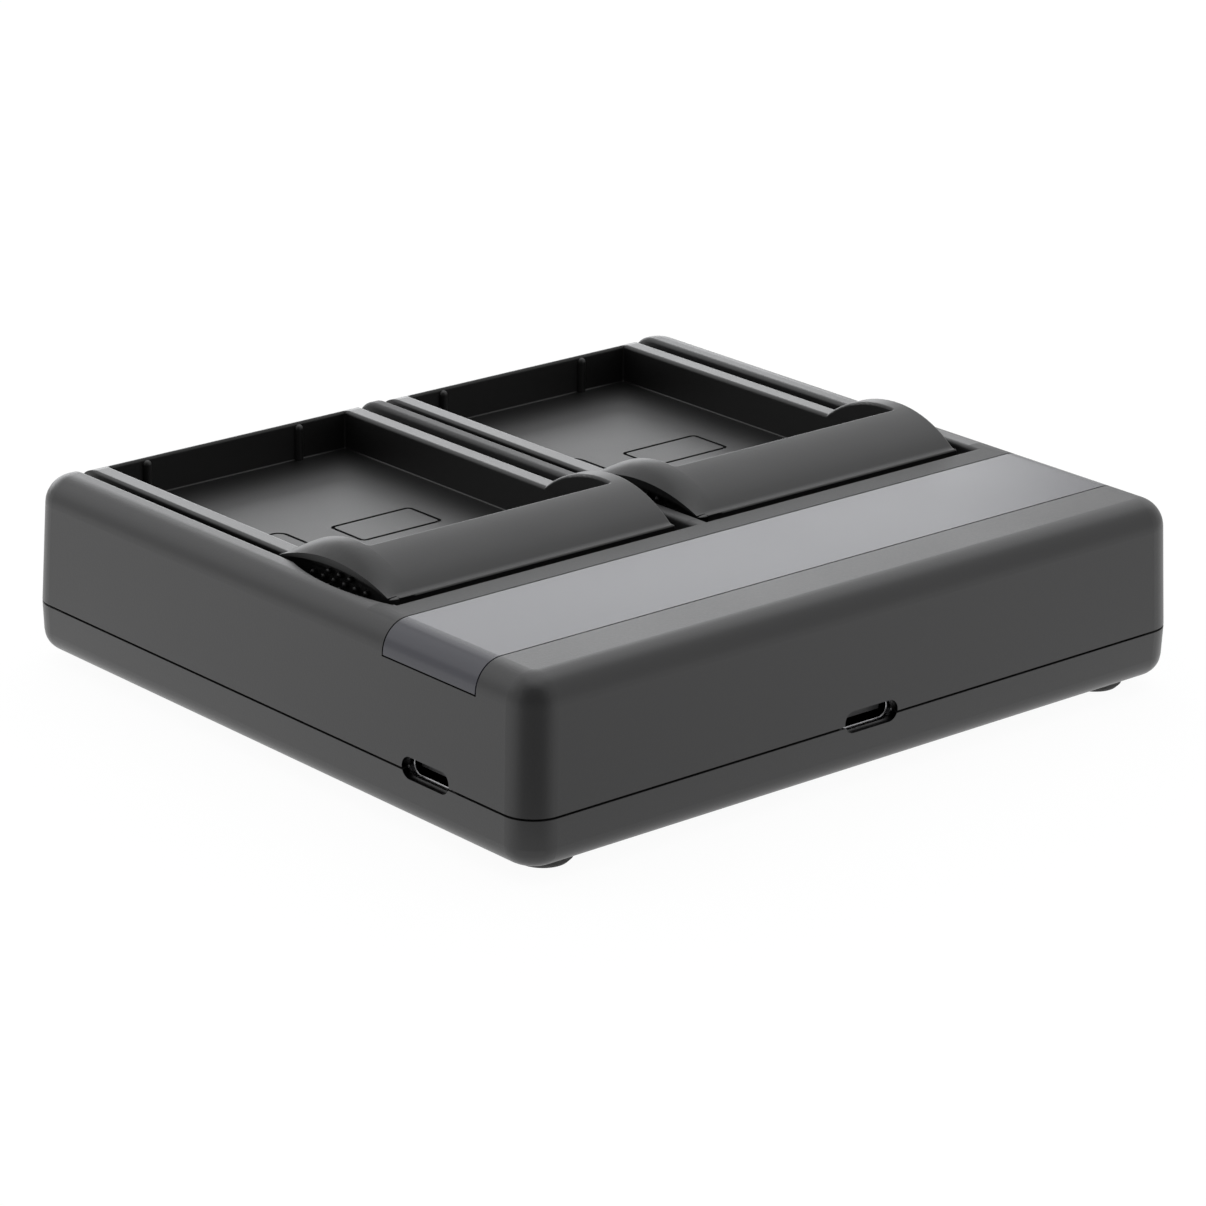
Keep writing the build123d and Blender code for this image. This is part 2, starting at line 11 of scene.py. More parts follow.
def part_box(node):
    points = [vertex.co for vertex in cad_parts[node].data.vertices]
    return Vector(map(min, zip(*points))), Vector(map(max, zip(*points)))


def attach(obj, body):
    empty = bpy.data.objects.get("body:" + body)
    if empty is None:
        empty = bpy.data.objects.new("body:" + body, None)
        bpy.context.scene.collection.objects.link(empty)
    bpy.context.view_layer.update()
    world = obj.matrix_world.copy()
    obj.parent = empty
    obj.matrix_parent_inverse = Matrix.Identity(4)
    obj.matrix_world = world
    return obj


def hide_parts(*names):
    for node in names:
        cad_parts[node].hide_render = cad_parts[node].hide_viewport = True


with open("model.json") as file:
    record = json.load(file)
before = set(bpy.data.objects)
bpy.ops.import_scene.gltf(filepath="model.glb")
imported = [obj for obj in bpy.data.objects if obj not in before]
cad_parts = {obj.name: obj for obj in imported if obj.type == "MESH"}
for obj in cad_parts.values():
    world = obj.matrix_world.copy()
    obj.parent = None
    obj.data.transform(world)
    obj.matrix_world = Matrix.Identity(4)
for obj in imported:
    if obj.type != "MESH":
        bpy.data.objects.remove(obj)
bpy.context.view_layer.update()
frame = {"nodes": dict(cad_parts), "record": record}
solids = frame["nodes"]
mm = 0.001

# Sizes of the charger that its fine pieces and finishes are set out from, in metres
plate_bodies = {"right_battery_plate": "right_plate", "left_battery_plate": "left_plate"}
plate_width = 44.5 * mm
arch_middle = (5.83 * mm, 11.9 * mm)  # axis of the hump of a battery plate, in Y and Z
stud_limit = 13.76 * mm  # studs lie this close to the arch's axis
stud_radius = 0.4 * mm
stud_shoulder = 0.35 * mm  # height at which a stud turns over
stud_dome = 0.3 * mm  # height of its rounded top
stud_tip_radius = 0.02 * mm  # ring that a fan closes
stud_pitch = 2.1 * mm
stud_row_pitch = 0.95 * mm
stud_rows = 4
foot_middle = (16.7 * mm, 25.17 * mm)  # axis of the soft foot of a finger lip, in Y and Z
foot_half = (0.58 * mm, 0.19 * mm, 1.7 * mm)  # its half sizes in Y and Z, and its length
foot_root = 0.5 * mm  # inside the plate's side
tongue_size = (4.6 * mm, 0.7 * mm)  # free length and thickness of a socket's tongue
pin_count = 8
pin_pitch = 0.72 * mm
pin_width = 0.34 * mm
pin_stand = 0.05 * mm  # proud of the tongue
pin_set_back = 0.5 * mm  # behind the tongue's tip
shell_wall = 0.3 * mm
socket_mouths = (54.0 * mm, 49.9 * mm)  # X of the side socket's mouth and Y of the rear socket's
bead_depth = 0.8 * mm  # behind the mouth
bead_radius = 0.07 * mm
slot_size = (8.9 * mm, 2.85 * mm)
slot_height = 8.7 * mm  # middle of both slots above the table
slot_depth = 3.0 * mm  # how far in the slots the shade is painted black
side_slot_y = 31.725 * mm
divider_half = 3.0 * mm  # half the width of the wall between the wells
divider_end = 17 * mm  # Y of its rear end
screw_radius = 1.3 * mm
screw_head_radius = 2.4 * mm
screw_head_height = 1.6 * mm
screw_tip_radius = 0.4 * mm
screw_face_bulge = 0.12 * mm
screw_edge = 0.25 * mm  # from the middle of the head's face to its rim, along the screw
cross_length = (1.2 * mm, 1.45 * mm)  # half the length of the recess, at its floor and at the face
cross_width = (0.25 * mm, 0.45 * mm)  # half its width, likewise
cross_depth = 0.9 * mm
housing_half = (55 * mm, 50.9 * mm)
lamp_place = (-10.3 * mm, 31.7 * mm)  # X and Y of the light guide under the strip
lamp_fade = (1.0 * mm, 2.0 * mm)  # radii between which the lamp's disc fades out on the strip
lens_half = (1.1 * mm, 0.7 * mm)
bay_floor = 19.8 * mm
rail_top = 25.1 * mm


# Surfaces


def skin(name, rings, body, slot, loop=False):
    """A closed surface through rings of points, an array of copies, rings, points and coordinates. Quads
    join each ring to the next. A loop's last ring is joined to its first; otherwise a fan to the middle of
    its ring closes each end."""
    copies, levels, sides, _ = rings.shape
    points = rings.reshape(copies, -1, 3)
    here = np.arange(sides)
    after = (here + 1) % sides
    near = np.arange(levels if loop else levels - 1)[:, None] * sides
    far = (near + sides) % (levels * sides)
    quads = np.stack([near + here, near + after, far + after, far + here], axis=-1).reshape(-1, 4)
    fans = np.empty((0, 3), int)
    if not loop:
        points = np.concatenate([points, rings[:, [0, -1]].mean(axis=2)], axis=1)
        last = (levels - 1) * sides
        low_pole = np.full(sides, levels * sides)
        fans = np.concatenate([
            np.stack([low_pole, after, here], axis=-1),
            np.stack([low_pole + 1, last + here, last + after], axis=-1),
        ])
    start = np.arange(copies)[:, None, None] * points.shape[1]
    faces = (start + quads).reshape(-1, 4).tolist() + (start + fans).reshape(-1, 3).tolist()
    mesh = bpy.data.meshes.new(name)
    mesh.from_pydata(points.reshape(-1, 3), [], faces)
    mesh.shade_smooth()
    mesh.materials.append(finishes[slot].owner)
    piece = bpy.data.objects.new(name, mesh)
    bpy.context.collection.objects.link(piece)
    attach(piece, body)
    return piece


def turned(radius, height, sides):
    """Rings of a turned shape: each profile point, a radius and a height, goes once round the Z axis."""
    angle = np.arange(sides) * 2 * pi / sides
    x = radius[:, None] * np.cos(angle)
    y = radius[:, None] * np.sin(angle)
    z = np.broadcast_to(height[:, None], x.shape)
    return np.stack([x, y, z], axis=-1)


def placed(rings, origins, axes):
    """One copy of the rings at each origin, with their X, Y and Z laid along the rows of axes."""
    return np.einsum("lsi,ic->lsc", rings, np.array(axes))[None] + np.array(origins)[:, None, None, :]


def smooth_step(value, start, end):
    """0 before start and 1 after end, with an S-shaped cubic between them."""
    share = np.clip((value - start) / (end - start), 0, 1)
    return share * share * (3 - 2 * share)


# Finishes


class Value:
    """Wraps a shader socket. Arithmetic on values adds the Math nodes that work it out."""

    def __init__(self, finish, socket):
        self.finish = finish
        self.socket = socket

    def math(self, operation, *terms):
        return self.finish.node("ShaderNodeMath", {"operation": operation}, dict(enumerate(terms)))

    def __add__(self, other):
        return self.math("ADD", self, other)

    def __sub__(self, other):
        return self.math("SUBTRACT", self, other)

    def __rsub__(self, other):
        return self.math("SUBTRACT", other, self)

    def __mul__(self, other):
        return self.math("MULTIPLY", self, other)

    def __truediv__(self, other):
        return self.math("DIVIDE", self, other)

    def __pow__(self, other):
        return self.math("POWER", self, other)

    def __abs__(self):
        return self.math("ABSOLUTE", self)

    __radd__ = __add__
    __rmul__ = __mul__


class Finish:
    """The shader of a material or world: constants are set on its own sockets, and what varies is linked to
    them."""

    def __init__(self, owner, main, constants):
        owner.use_nodes = True
        self.owner = owner
        self.tree = owner.node_tree
        self.shader = self.tree.nodes[main]
        for socket, value in constants.items():
            self.shader.inputs[socket].default_value = value

    def node(self, kind, settings, sockets, output=0):
        """Adds a node: its settings first, then each socket's value or link. Returns one of its outputs."""
        added = self.tree.nodes.new(kind)
        for name, setting in settings.items():
            setattr(added, name, setting)
        for key, value in sockets.items():
            if isinstance(value, Value):
                self.tree.links.new(value.socket, added.inputs[key])
            else:
                added.inputs[key].default_value = value
        return Value(self, added.outputs[output])

    def feed(self, socket, value):
        self.tree.links.new(value.socket, self.shader.inputs[socket])

    def fed(self, socket):
        """What feeds one of the shader's sockets."""
        return Value(self, self.shader.inputs[socket].links[0].from_socket)

    def place(self):
        """Object coordinates, in metres."""
        return self.node("ShaderNodeTexCoord", {}, {}, "Object")

    def axis(self, letter):
        return self.node("ShaderNodeSeparateXYZ", {}, {0: self.place()}, letter)

    def noise(self, size, detail=2, roughness=0.5, stretch=(1, 1, 1)):
        """Cloudy noise between 0 and 1 with spots of about that size in metres, drawn out by the stretch."""
        scale = [1 / (size * part) for part in stretch]
        spot = self.node("ShaderNodeMapping", {}, {"Vector": self.place(), "Scale": scale})
        return self.node("ShaderNodeTexNoise", {},
                         {"Vector": spot, "Scale": 1, "Detail": detail, "Roughness": roughness})

    def step(self, value, start, end):
        """0 at start and 1 at end, smooth between them."""
        return self.node("ShaderNodeMapRange", {"interpolation_type": "SMOOTHSTEP"},
                         {"Value": value, "From Min": start, "From Max": end})

    def mix(self, share, first, second):
        """Colour between a first, which may be a value, and a second."""
        if isinstance(first, tuple):
            first = (*first, 1)
        return self.node("ShaderNodeMix", {"data_type": "RGBA"},
                         {"Factor": share, 6: first, 7: (*second, 1)}, 2)

    def relief(self, height, depth):
        """Raises the surface by height times depth, in metres."""
        bump = self.node("ShaderNodeBump", {}, {"Strength": 1, "Distance": depth, "Height": height})
        self.feed("Normal", bump)


def material(name, **constants):
    """A finish with a Principled shader. Constants are named for its sockets, with _ for a space."""
    sockets = {socket.replace("_", " "): value for socket, value in constants.items()}
    return Finish(bpy.data.materials.new(name), "Principled BSDF", sockets)


def grained_plastic(name, dark, light, roughness, grain_size, grain_depth):
    """Moulded plastic: a fine eroded grain in the relief, a faint cloudy change of tone from the melt's flow,
    and gloss that differs a little from place to place."""
    finish = material(name, IOR=1.5)
    flow = finish.noise(14 * mm, detail=3)
    grain = finish.noise(grain_size, detail=3, roughness=0.6)
    finish.feed("Base Color", finish.mix(flow * 0.8 + grain * 0.2, dark, light))
    finish.feed("Roughness", roughness + (flow - 0.5) * 0.06 + (grain - 0.5) * 0.1)
    finish.relief(grain, grain_depth)
    return finish


def housing_plastic():
    """Charcoal plastic of the two shells, rougher on the divider and on the ledge before the strip, with
    painted shade
    in the slots of the sockets: their walls get a black, metallic base."""
    finish = grained_plastic("housing_plastic", dark=(0.018, 0.018, 0.0185), light=(0.022, 0.022, 0.0225),
                             roughness=0.37, grain_size=0.28 * mm, grain_depth=0.012 * mm)
    x = finish.axis("X")
    y = finish.axis("Y")
    z = finish.axis("Z")
    rise = z - slot_height

    def slot_shade_mask(across, depth):
        """Mask of the painted shade: 1 on the walls of a slot, whose ends are half circles, and 0 elsewhere.
        """
        end = abs(across) - (slot_size[0] - slot_size[1]) / 2
        end = end.math("MAXIMUM", end, 0)
        reach = (end * end + rise * rise) ** 0.5 - slot_size[1] / 2
        half_depth = slot_depth / 2
        inside = finish.step(abs(depth - half_depth), half_depth - 0.06 * mm, half_depth - 0.12 * mm)
        return finish.step(reach, 0.08 * mm, 0.04 * mm) * inside

    # Painted shade: the slot walls get a near-black base and full Metallic, so they stay dark as a shaded
    # recess would.
    slots = slot_shade_mask(x, housing_half[1] - y) + slot_shade_mask(y - side_slot_y, housing_half[0] - x)
    finish.feed("Base Color", finish.mix(slots, finish.fed("Base Color"), (0.003, 0.003, 0.003)))
    finish.feed("Metallic", slots)
    divider = finish.step(abs(x), divider_half + 0.2 * mm, divider_half)
    divider = divider * finish.step(y, divider_end + mm, divider_end)
    strip_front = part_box("accent_strip")[0].y
    plate_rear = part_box("right_battery_plate")[1].y
    ledge = finish.step(y, plate_rear - 0.2 * mm, plate_rear)
    ledge = ledge * finish.step(y, strip_front, strip_front - 0.1 * mm)
    ledge = ledge * finish.step(z, rail_top - 0.2 * mm, rail_top)
    finish.feed("Roughness", finish.fed("Roughness") + divider * 0.15 + ledge * 0.15)
    return finish


def plate_plastic():
    """Near-black plastic of the battery plates, with glossier rails and a shallower grain on bay floors."""
    finish = material("plate_plastic", IOR=1.5)
    height = finish.axis("Z")
    flow = finish.noise(11 * mm, detail=3)
    grain = finish.noise(0.22 * mm, detail=3, roughness=0.6)
    polished = finish.step(abs(height - rail_top), 0.25 * mm, 0.1 * mm)
    low = finish.step(height, bay_floor + 0.3 * mm, bay_floor + 0.1 * mm)
    tone = flow * 0.8 + grain * 0.2
    finish.feed("Base Color", finish.mix(tone, (0.0028, 0.0028, 0.0028), (0.0040, 0.0040, 0.0040)))
    zones = 0.42 - polished * 0.12 - low * 0.02
    finish.feed("Roughness", zones + (flow - 0.5) * 0.06 + (grain - 0.5) * 0.08)
    finish.relief(grain * (1 - low * 0.6), 0.008 * mm)
    return finish


def strip_plastic():
    """Satin inlay, with a faint disc where the lamp's light guide ends under it."""
    finish = material("strip_plastic", IOR=1.52)
    flow = finish.noise(18 * mm, detail=2)
    grain = finish.noise(0.15 * mm, detail=2)
    across = finish.axis("X") - lamp_place[0]
    along = finish.axis("Y") - lamp_place[1]
    lamp = finish.step((across * across + along * along) ** 0.5, lamp_fade[1], lamp_fade[0])
    plain = finish.mix(flow * 0.8 + grain * 0.2, (0.034, 0.0345, 0.046), (0.038, 0.0385, 0.050))
    finish.feed("Base Color", finish.mix(lamp, plain, (0.030, 0.0305, 0.042)))
    finish.feed("Roughness", 0.24 + (flow - 0.5) * 0.05 + (grain - 0.5) * 0.06)
    finish.relief(grain, 0.002 * mm)
    return finish


def foot_rubber():
    """Matt rubber with a dusty bloom and a pebbled face."""
    finish = material("foot_rubber", IOR=1.48)
    bloom = finish.noise(2.5 * mm, detail=4)
    pebble = finish.noise(0.35 * mm, detail=2)
    finish.feed("Base Color", finish.mix(bloom, (0.070, 0.070, 0.070), (0.095, 0.094, 0.092)))
    finish.feed("Roughness", 0.72 + bloom * 0.2)
    finish.relief(pebble, 0.03 * mm)
    return finish


def plated_metal(name, dark, light, roughness, stretch):
    """Plated metal: fine lines, drawn out by the stretch, in tone, gloss and relief, and faint tarnish."""
    finish = material(name, Metallic=1)
    lines = finish.noise(0.12 * mm, detail=3, stretch=stretch)
    cloud = finish.noise(2.2 * mm, detail=3)
    finish.feed("Base Color", finish.mix(lines * 0.5 + cloud * 0.5, dark, light))
    finish.feed("Roughness", roughness + (lines - 0.5) * 0.16 + (cloud - 0.5) * 0.1)
    finish.relief(lines, 0.004 * mm)
    return finish


def socket_steel():
    """Nickel plating, bright round the mouth and the bead, with painted shade further in: a dark base colour
    past the bead.
    """
    finish = plated_metal("socket_steel", dark=(0.50, 0.50, 0.51), light=(0.62, 0.62, 0.63), roughness=0.24,
                          stretch=(6, 6, 1))
    side = socket_mouths[0] - finish.axis("X")
    rear = socket_mouths[1] - finish.axis("Y")
    # Painted shade: the base colour turns dark past the bead, deeper in the shell.
    inside = finish.step(side.math("MINIMUM", side, rear), bead_depth + 0.1 * mm, bead_depth + 0.3 * mm)
    finish.feed("Base Color", finish.mix(inside, finish.fed("Base Color"), (0.05, 0.05, 0.052)))
    return finish


def board_laminate():
    """Green solder mask over glass cloth: tracks show as raised, lighter lines in square cells."""
    finish = material("board_laminate", IOR=1.5)
    spread = finish.node("ShaderNodeMapping", {}, {"Vector": finish.place(), "Scale": (1 / mm, 1 / mm, 0)})
    cells = finish.node("ShaderNodeTexVoronoi", {"feature": "F1", "distance": "CHEBYCHEV"},
                        {"Vector": spread, "Scale": 0.22}, "Distance")
    track = finish.step(abs(cells - 0.45), 0.07, 0.05)
    cloth = finish.noise(0.5 * mm, detail=1)
    mask = finish.mix(cloth, (0.010, 0.075, 0.030), (0.015, 0.095, 0.040))
    finish.feed("Base Color", finish.mix(track, mask, (0.045, 0.170, 0.075)))
    finish.feed("Roughness", 0.34 + cloth * 0.1 - track * 0.06)
    finish.relief(track + cloth * 0.2, 0.03 * mm)
    return finish


def moulded_resin(name, dark, light, roughness, spot):
    """Filled resin or pressed powder: a speckle of filler in tone and relief."""
    finish = material(name, IOR=1.52)
    speckle = finish.noise(spot, detail=4, roughness=0.7)
    haze = finish.noise(3 * mm)
    finish.feed("Base Color", finish.mix(finish.step(speckle, 0.35, 0.75), dark, light))
    finish.feed("Roughness", roughness + (haze - 0.5) * 0.12 + (speckle - 0.5) * 0.1)
    finish.relief(speckle, 0.01 * mm)
    return finish


def lamp_plastic():
    """White lamp body with a yellow phosphor lens in its middle."""
    finish = material("lamp_plastic", IOR=1.5)
    across = abs(finish.axis("X") - lamp_place[0])
    along = abs(finish.axis("Y") - lamp_place[1])
    soft = 0.05 * mm
    lens = finish.step(across, lens_half[0] + soft, lens_half[0] - soft)
    lens = lens * finish.step(along, lens_half[1] + soft, lens_half[1] - soft)
    haze = finish.noise(0.4 * mm)
    body = finish.mix(haze, (0.80, 0.80, 0.78), (0.86, 0.86, 0.84))
    finish.feed("Base Color", finish.mix(lens, body, (0.82, 0.70, 0.18)))
    finish.feed("Roughness", 0.3 + haze * 0.1 - lens * 0.12)
    return finish


def guide_clear():
    """Clear acrylic rod with faint flow marks in its gloss."""
    finish = material("guide_clear", IOR=1.49, Base_Color=(0.86, 0.90, 0.92, 1), Transmission_Weight=0.9)
    flow = finish.noise(1.2 * mm, stretch=(1, 1, 4))
    finish.feed("Roughness", 0.06 + flow * 0.12)
    return finish


def capacitor_can():
    """Drawn aluminium can with a dark sleeve round it below its bare top."""
    finish = material("capacitor_can")
    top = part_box("filter_capacitors")[1].z
    sleeve = finish.step(finish.axis("Z"), top - 0.5 * mm, top - 0.6 * mm)
    lines = finish.noise(0.1 * mm, detail=2, stretch=(1, 1, 12))
    bare = finish.mix(lines, (0.52, 0.52, 0.53), (0.66, 0.66, 0.67))
    finish.feed("Base Color", finish.mix(sleeve, bare, (0.018, 0.020, 0.028)))
    finish.feed("Metallic", 1 - sleeve)
    finish.feed("Roughness", 0.28 + lines * 0.14 + sleeve * 0.1)
    finish.relief(lines, 0.003 * mm)
    return finish


finishes = {
    "housing_plastic": housing_plastic(),
    "plate_plastic": plate_plastic(),
    "strip_plastic": strip_plastic(),
    "foot_rubber": foot_rubber(),
    "screw_steel": plated_metal("screw_steel", dark=(0.16, 0.16, 0.17), light=(0.26, 0.26, 0.27),
                                roughness=0.36, stretch=(1, 1, 1)),
    "board_laminate": board_laminate(),
    "socket_steel": socket_steel(),
    "insulator_plastic": moulded_resin("insulator_plastic", dark=(0.010, 0.010, 0.011),
                                       light=(0.016, 0.016, 0.017), roughness=0.4, spot=0.1 * mm),
    "lamp_plastic": lamp_plastic(),
    "guide_clear": guide_clear(),
    "chip_resin": moulded_resin("chip_resin", dark=(0.012, 0.012, 0.013), light=(0.024, 0.024, 0.025),
                                roughness=0.55, spot=0.08 * mm),
    "capacitor_can": capacitor_can(),
    "inductor_ferrite": moulded_resin("inductor_ferrite", dark=(0.045, 0.043, 0.042),
                                      light=(0.09, 0.087, 0.084), roughness=0.6, spot=0.25 * mm),
    "contact_brass": plated_metal("contact_brass", dark=(0.68, 0.47, 0.16), light=(0.80, 0.60, 0.26),
                                  roughness=0.26, stretch=(1, 8, 1)),
}
for part in frame["record"]["subparts"]:
    solids[part["node"]].material_slots[0].material = finishes[part["material_slot"]].owner


# Fine pieces

turned_to_x = [(0, 1, 0), (0, 0, 1), (1, 0, 0)]  # axes that point a turned shape along +X


def grip_studs(node):
    """Rounded studs over the rows of pegs under a plate's finger lip. A stud's profile rises from its root
    and turns over to its axis along a quarter of an ellipse."""
    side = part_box(node)[0].x + plate_width
    turn = np.linspace(0, pi / 2, 5)[:-1]
    radius = np.concatenate([[stud_radius], stud_radius * np.cos(turn), [stud_tip_radius]])
    height = np.concatenate([[0], stud_shoulder + stud_dome * np.sin(turn), [stud_shoulder + stud_dome]])
    middle_y, middle_z = arch_middle
    places = []
    for row in range(stud_rows):
        z = middle_z + stud_limit - (row + 0.5) * stud_row_pitch
        columns = int(stud_limit / stud_pitch)
        for column in range(-columns, columns + 1):
            y = middle_y + (column + 0.5 * (row % 2)) * stud_pitch
            if hypot(y - middle_y, z - middle_z) < stud_limit:
                places.append((side, y, z))
    studs = placed(turned(radius, height, sides=12), places, turned_to_x)
    skin(node.replace("battery_plate", "grip_studs"), studs, plate_bodies[node], "plate_plastic")


def lip_foot(node):
    """Soft foot that carries the ledge behind a hump on under the finger lip: half an ellipsoid along X. Its
    rings shrink as the cosine of an angle while they go out along the axis as its sine, nearly to the tip."""
    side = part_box(node)[0].x + plate_width
    angle = np.linspace(0, 0.99 * pi / 2, 10)
    rings = turned(np.cos(angle), np.sin(angle), sides=20) * foot_half
    foot = placed(rings, [(side - foot_root, *foot_middle)], turned_to_x)
    skin(node.replace("battery_plate", "lip_foot"), foot, plate_bodies[node], "plate_plastic")


def socket_pins(node, outward):
    """Gold contact bars on both faces of a socket's tongue. A bar's section is a flattened oval, carried
    along the tongue and rounded off at its ends."""
    low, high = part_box(node)
    middle = (low + high) / 2
    across = Vector((0, 0, 1)).cross(outward)
    tip = middle + outward * (abs((high - low).dot(outward)) / 2)
    length, thickness = tongue_size
    along = np.sin(np.linspace(-pi / 2, pi / 2, 9)) / 2 + 0.5
    swell = np.minimum(1, 4 * np.sqrt(along * (1 - along))) + 0.02
    angle = np.arange(12) * 2 * pi / 12
    bar_length = length - 2 * pin_set_back
    rings = np.stack([
        swell[:, None] * np.cos(angle) * pin_width / 2,
        swell[:, None] * np.sin(angle) * pin_stand,
        np.broadcast_to(along[:, None] * bar_length, (len(along), len(angle))),
    ], axis=-1)
    start = tip - outward * (pin_set_back + bar_length)
    places = []
    for face in (-1, 1):
        for pin in range(pin_count):
            offset = across * ((pin - (pin_count - 1) / 2) * pin_pitch)
            places.append(start + offset + Vector((0, 0, face * thickness / 2)))
    upward = outward.cross(across)
    bars = placed(rings, places, [across, upward, outward])
    skin(node.replace("tongue", "pins"), bars, "base", "contact_brass")


def socket_bead(node, outward):
    """Rolled bead inside the mouth of a socket's shell. A circle is carried along a slot-shaped path: two
    half circles, and the straight runs between them."""
    low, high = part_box(node)
    across = Vector((0, 0, 1)).cross(outward)
    mouth = (low + high) / 2 + outward * (abs((high - low).dot(outward)) / 2 - bead_depth)
    turn_radius = (high.z - low.z) / 2 - shell_wall - bead_radius / 2
    straight = (abs((high - low).dot(across)) - (high.z - low.z)) / 2
    half_turn = np.linspace(-pi / 2, pi / 2, 13)
    heading = np.concatenate([half_turn, half_turn + pi])[:, None]
    middle = np.repeat([straight, -straight], len(half_turn))[:, None]
    angle = np.arange(10) * 2 * pi / 10
    reach = turn_radius + bead_radius * np.cos(angle)
    rings = np.stack([
        middle + reach * np.cos(heading),
        reach * np.sin(heading),
        np.broadcast_to(-bead_radius * np.sin(angle), (len(heading), len(angle))),
    ], axis=-1)
    bead = placed(rings, [mouth], [across, outward.cross(across), outward])
    skin(node.replace("shell", "bead"), bead, "base", "socket_steel", loop=True)


def case_screws():
    """Whole screws: a pan head with a cross recess, and a shank. The profile runs from the middle of the
    head's face out to its rim, up to its seat, in to the shank and up to its point. The face sinks where the
    cross is."""
    low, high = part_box("case_screws")
    face = np.linspace(0.04, 1, 22) * screw_head_radius * 0.94
    shank = high.z - low.z - screw_head_height
    seat = screw_head_height
    beyond_face = [screw_head_radius, screw_head_radius, screw_radius, screw_radius, screw_tip_radius]
    rise = [screw_edge, seat, seat, seat + 0.9 * shank, seat + shank]
    radius = np.concatenate([face, beyond_face])
    height = np.concatenate([screw_face_bulge * (face / screw_head_radius) ** 4, rise])
    rings = turned(radius, height, sides=48)
    off_axis = abs(rings[..., :2])
    long_way = off_axis.max(axis=-1)
    short_way = off_axis.min(axis=-1)
    cross = (1 - smooth_step(long_way, *cross_length)) * (1 - smooth_step(short_way, *cross_width))
    on_face = np.arange(len(radius))[:, None] < len(face)
    rings[..., 2] += cross_depth * cross * on_face
    x_places = (low.x + screw_head_radius, high.x - screw_head_radius)
    y_places = (low.y + screw_head_radius, high.y - screw_head_radius)
    origins = [(x, y, low.z) for x in x_places for y in y_places]
    screws = skin("cross_recess_screws", placed(rings, origins, np.eye(3)), "base", "screw_steel")
    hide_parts("case_screws")


for plate in plate_bodies:
    grip_studs(plate)
    lip_foot(plate)
for socket, outward in (("rear_socket", Vector((0, 1, 0))), ("side_socket", Vector((1, 0, 0)))):
    socket_pins(socket + "_tongue", outward)
    socket_bead(socket + "_shell", outward)
case_screws()


# Studio and camera

near_corner = (50.6 * mm, 46.5 * mm)  # middle of the rounding at the corner nearest the camera
front_bearing = radians(49)  # from that corner to the unlit front of the studio
photo_side = 1206  # pixels across the photograph
focal_length = 4839.2  # in the same pixels
sensor_width = 36  # of the camera, in millimetres
light_middle = Vector((0, 0, 12 * mm))  # what the lights look at
light_colour = (0.97, 0.98, 1.0)
floor_half = 3.0
floor_white = 0.95  # strength of the floor in reflections, at the near corner
left_gain = 0.06  # added to that on the left, and taken from it on the right
far_gain = 2  # added for each metre from the near corner, as far as the limit
far_limit = 120 * mm
wall_gain = 0.2  # added close to the walls
dim_loss = 0.8  # share taken away in the unlit front
behind_loss = 0.35  # share taken away well behind the charger
camera_white = 1.02  # the floor's own glow as the camera sees it
camera_share = 0.93  # of that glow, and the rest is lit paper with the shadow on it
mirror_share = 0.85  # the same in reflections
air_white = 0.85  # strength of the surroundings in reflections
front_loss = 0.72  # taken from that in the unlit front
ambient = 0.6  # strength of the plain fill


def softbox(name, place, size, watts):
    """A rectangular soft light that looks at the middle of the charger."""
    light = bpy.data.lights.new(name, "AREA")
    light.shape = "RECTANGLE"
    light.size, light.size_y = size
    light.energy = watts
    light.color = light_colour
    box = bpy.data.objects.new(name, light)
    aim = light_middle - Vector(place)
    box.matrix_world = Matrix.Translation(place) @ aim.to_track_quat("-Z", "Y").to_matrix().to_4x4()
    box.visible_camera = False
    bpy.context.collection.objects.link(box)


def ray_kinds(finish):
    """Whether a ray comes from the camera, and whether it is mirrored by gloss or passes through something
    clear."""
    seen = finish.node("ShaderNodeLightPath", {}, {}, "Is Camera Ray")
    glossy = finish.node("ShaderNodeLightPath", {}, {}, "Is Glossy Ray")
    clear = finish.node("ShaderNodeLightPath", {}, {}, "Is Transmission Ray")
    return seen, glossy.math("MAXIMUM", glossy, clear)


def studio_front(finish, x, y):
    """0 beside and behind the charger and 1 in the unlit part of the studio, ahead of its near corner: the
    cosine of the bearing from that part's middle goes through a smooth step."""
    ahead = x * cos(front_bearing) + y * sin(front_bearing)
    return finish.step(ahead / ((x * x + y * y) ** 0.5 + 0.1 * mm), 0.5, 0.9)


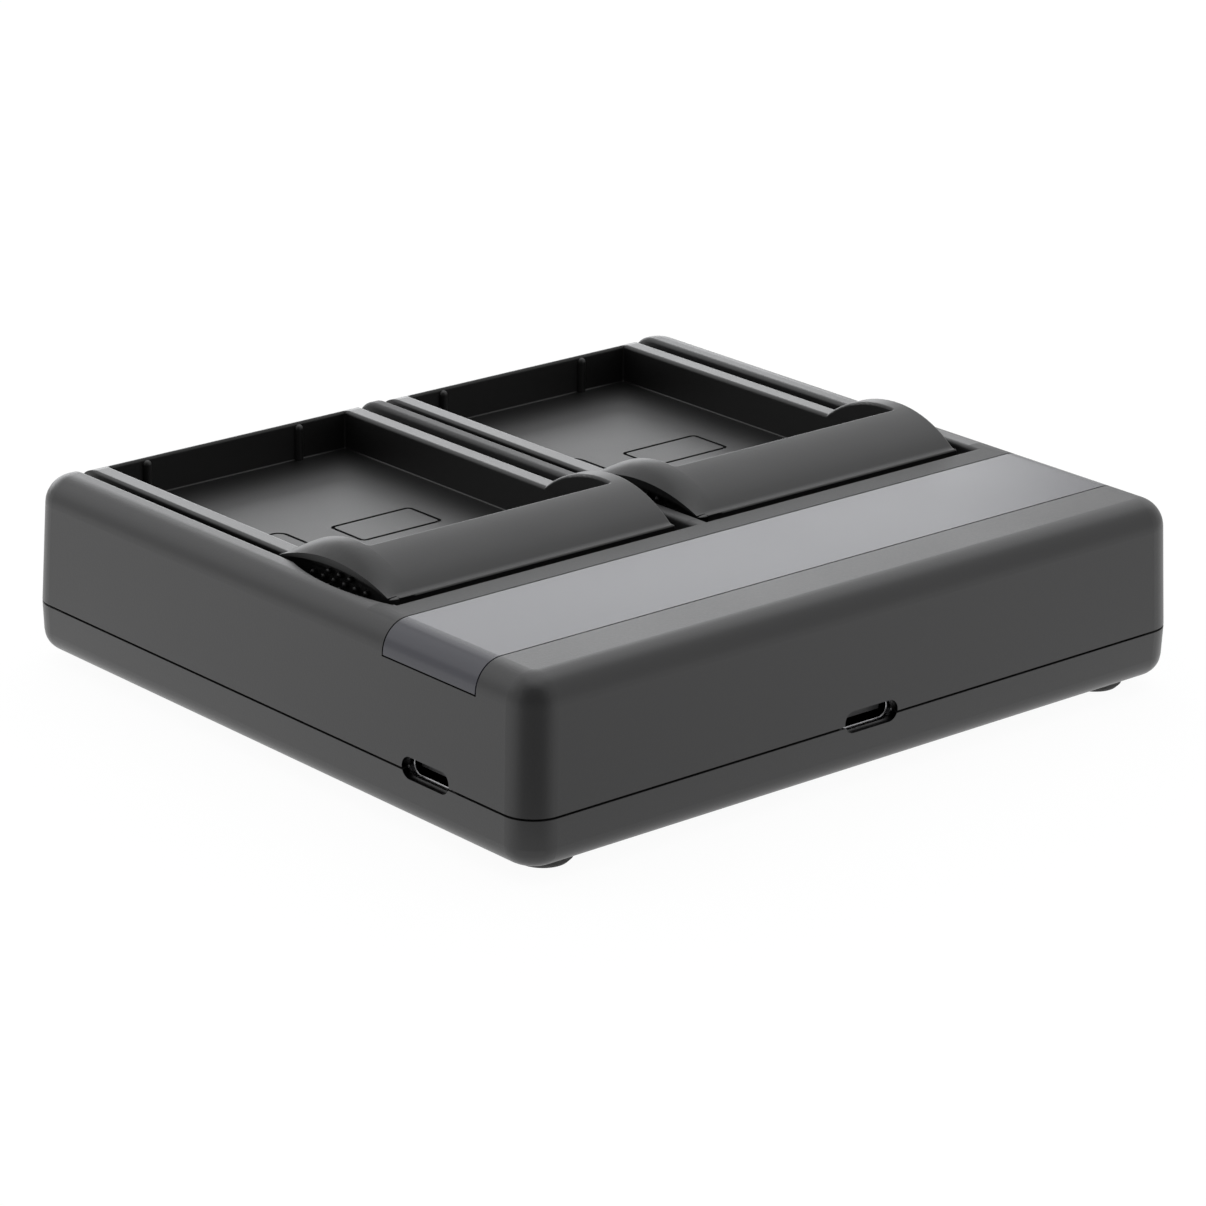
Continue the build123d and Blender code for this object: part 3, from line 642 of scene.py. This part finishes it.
def floor():
    """A wide pale floor. The camera sees it nearly white, with the charger's shadow. In reflections it is
    white at both sides, a little more on the left and close to the walls, and dim in the unlit front of the
    studio."""
    corners = np.array([(-1, -1, 0), (1, -1, 0), (1, 1, 0), (-1, 1, 0)]) * floor_half
    mesh = bpy.data.meshes.new("floor")
    mesh.from_pydata(corners, [], [(0, 1, 2, 3)])
    ground = bpy.data.objects.new("floor", mesh)
    bpy.context.collection.objects.link(ground)
    paper = material("floor_paper", Base_Color=(0.95, 0.95, 0.95, 1), Roughness=0.9, Specular_IOR_Level=0)
    x = paper.axis("X") - near_corner[0]
    y = paper.axis("Y") - near_corner[1]
    away = (x * x + y * y) ** 0.5
    left = (x * sin(front_bearing) - y * cos(front_bearing)) / (away + 0.1 * mm)
    seen, mirrored = ray_kinds(paper)
    behind = paper.step(x * cos(front_bearing) + y * sin(front_bearing), -100 * mm, -220 * mm)
    beyond_side = abs(paper.axis("X")) - housing_half[0]
    beyond_end = abs(paper.axis("Y")) - housing_half[1]
    close = paper.step(beyond_side.math("MAXIMUM", beyond_side, beyond_end), 22 * mm, 4 * mm)
    far = away.math("MINIMUM", away, far_limit)
    bright = floor_white + left_gain * left + far_gain * far + wall_gain * close
    dim = studio_front(paper, x, y) * paper.step(away, 4 * mm, 34 * mm)
    reflected = bright * (1 - dim_loss * dim) * (1 - behind_loss * behind)
    strength = seen * camera_white + mirrored * reflected
    glow = paper.node("ShaderNodeEmission", {}, {"Color": (1, 1, 1, 1), "Strength": strength})
    lit = Value(paper, paper.shader.outputs[0])
    share = seen * camera_share + mirrored * mirror_share
    mixed = paper.node("ShaderNodeMixShader", {}, {0: share, 1: lit, 2: glow})
    paper.tree.links.new(mixed.socket, paper.tree.nodes["Material Output"].inputs["Surface"])
    mesh.materials.append(paper.owner)


def surroundings():
    """White for the camera, white with a dim front in reflections, and a plain soft fill for everything else.
    The dim front ends short of the zenith."""
    world = bpy.data.worlds.new("studio")
    bpy.context.scene.world = world
    air = Finish(world, "Background", {"Color": (1, 1, 1, 1)})
    bearing = air.node("ShaderNodeTexCoord", {}, {}, "Generated")
    x, y, z = (air.node("ShaderNodeSeparateXYZ", {}, {0: bearing}, letter) for letter in "XYZ")
    seen, mirrored = ray_kinds(air)
    reflected = air_white - front_loss * studio_front(air, x, y) * air.step(z, 0.97, 0.86)
    air.feed("Strength", seen + mirrored * reflected + (1 - seen - mirrored) * ambient)


def photo_camera(place, azimuth, elevation, roll):
    """Camera at the photograph's view: turned to the azimuth, tilted down by the elevation, and rolled about
    its axis."""
    ahead = Vector((-sin(azimuth) * cos(elevation), cos(azimuth) * cos(elevation), -sin(elevation)))
    right = Vector((cos(azimuth), sin(azimuth), 0))
    down = ahead.cross(right)
    across = cos(roll) * right + sin(roll) * down
    up = sin(roll) * right - cos(roll) * down
    lens = bpy.data.cameras.new("camera")
    lens.sensor_width = sensor_width
    lens.lens = sensor_width * focal_length / photo_side
    lens.clip_start = 0.01
    camera = bpy.data.objects.new("camera", lens)
    turn = Matrix((across, up, -ahead)).transposed().to_4x4()
    camera.matrix_world = Matrix.Translation(place) @ turn
    bpy.context.collection.objects.link(camera)
    bpy.context.scene.camera = camera


photo_camera((0.38967, 0.44827, 0.22146), azimuth=radians(138.982), elevation=radians(19.653),
             roll=radians(-0.782))
surroundings()
floor()
softbox("back_softbox", (-0.431, -1.056, 0.23), (1.13, 0.46), 3.42)
softbox("high_softbox", (-0.637, -0.446, 0.778), (1.3, 0.8), 2.3)
softbox("left_softbox", (0.42, -0.73, 0.71), (0.9, 0.8), 1.1)
softbox("top_softbox", (-0.1, -0.1, 1.1), (0.9, 0.9), 2.2)
bpy.context.scene.view_settings.view_transform = "Standard"
